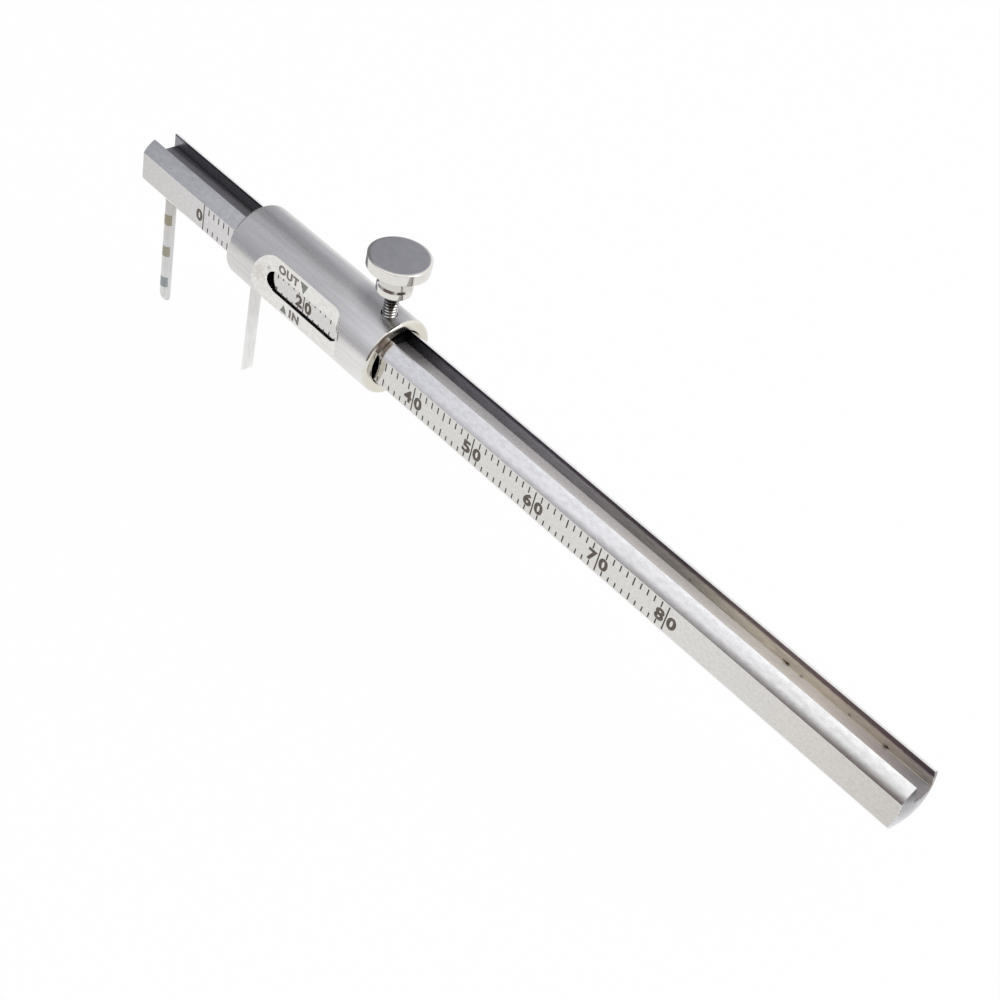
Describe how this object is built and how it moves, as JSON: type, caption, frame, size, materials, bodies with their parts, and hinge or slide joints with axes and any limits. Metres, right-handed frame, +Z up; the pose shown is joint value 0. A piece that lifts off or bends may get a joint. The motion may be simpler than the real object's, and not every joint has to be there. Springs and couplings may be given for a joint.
{
  "type": "slide gauge",
  "caption": "Slide gauge on a slotted round bar: two pin jaws for inside and outside sizes, a sleeve with a reading window over the scale, and a thumb screw that clamps it.",
  "frame": {"origin": "centre of the bar's head end face, on the bar's axis", "axes": "+X along the bar towards its tail, -Y out of the flat that carries the scale, +Z up towards the thumb screw, with the jaws reaching down"},
  "size_m": [0.124, 0.0102, 0.0347],
  "materials": {
    "bar_steel": "drawn stainless bar, finely polished lengthwise",
    "jaw_steel": "ground stainless pin",
    "sleeve_steel": "satin, brushed lengthwise, with polished ends and a bright milled trough",
    "key_steel": "ground",
    "shoe_steel": "hardened and blackened",
    "screw_steel": "cut thread",
    "knob_steel": "polished sides and a satin top",
    "laser_mark": "laser-marked lines, figures and bands"
  },
  "bodies": {
    "bar": {"beam": "bar_steel", "fixed_jaw": "jaw_steel"},
    "slider": {"sleeve": "sleeve_steel", "moving_jaw": "jaw_steel", "guide_key": "key_steel"},
    "clamp": {"clamp_shoe": "shoe_steel"},
    "screw": {"screw_stud": "screw_steel", "thumb_knob": "knob_steel"}
  },
  "joints": [
    {"name": "slider_travel", "type": "slide", "parent": "bar", "child": "slider", "axis": [1, 0, 0], "range_m": [-0.01695, 0.06]},
    {"name": "clamp_travel", "type": "slide", "parent": "slider", "child": "clamp", "axis": [0, 0, 1], "range_m": [-0.00018889, 0.0008]},
    {"name": "screw_turn", "type": "hinge", "parent": "clamp", "child": "screw", "pos_m": [0.04395, 0, 0.0051], "axis": [0, 0, 1], "range_deg": [-170, 720]}
  ],
  "couplings": [
    {"joint": "screw_turn", "follows": "clamp_travel", "rad_per_m": 15708}
  ]
}
